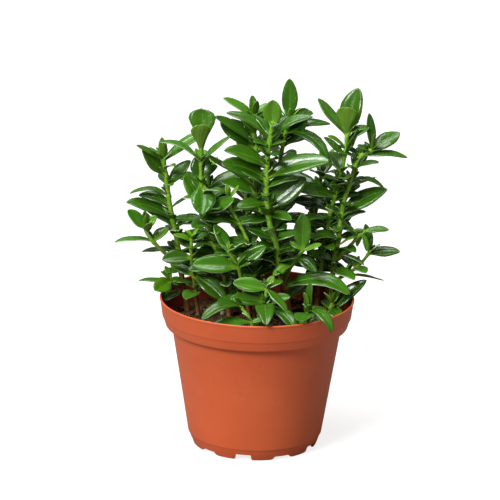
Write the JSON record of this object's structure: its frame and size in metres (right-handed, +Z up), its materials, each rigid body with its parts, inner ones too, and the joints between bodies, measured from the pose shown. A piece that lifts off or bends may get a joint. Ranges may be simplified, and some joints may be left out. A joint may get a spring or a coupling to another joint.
{
  "type": "potted plant",
  "caption": "Bushy house plant with upright shoots of glossy opposite leaves, growing in soil in a terracotta-coloured plastic nursery pot.",
  "frame": {"origin": "on the pot's axis, at the surface that the pot stands on", "axes": "+Z up along the pot's axis; -Y towards the side that the picture shows; +X to that view's right"},
  "size_m": [0.2448, 0.1776, 0.3125],
  "materials": {
    "pot": "satin moulded plastic",
    "soil": "moist potting mix",
    "shoot": "glossy leaves on green stems"
  },
  "bodies": {
    "root": {"pot": "pot", "shoot_back_centre": "shoot", "shoot_back_left": "shoot", "shoot_back_right": "shoot", "shoot_centre": "shoot", "shoot_centre_back": "shoot", "shoot_centre_left": "shoot", "shoot_front_centre": "shoot", "shoot_front_left": "shoot", "shoot_front_left_low": "shoot", "shoot_front_low": "shoot", "shoot_front_right_low": "shoot", "shoot_left_inner": "shoot", "shoot_left_short": "shoot", "shoot_left_tall": "shoot", "shoot_right_inner": "shoot", "shoot_right_low": "shoot", "shoot_right_tall": "shoot", "soil": "soil"}
  },
  "joints": []
}
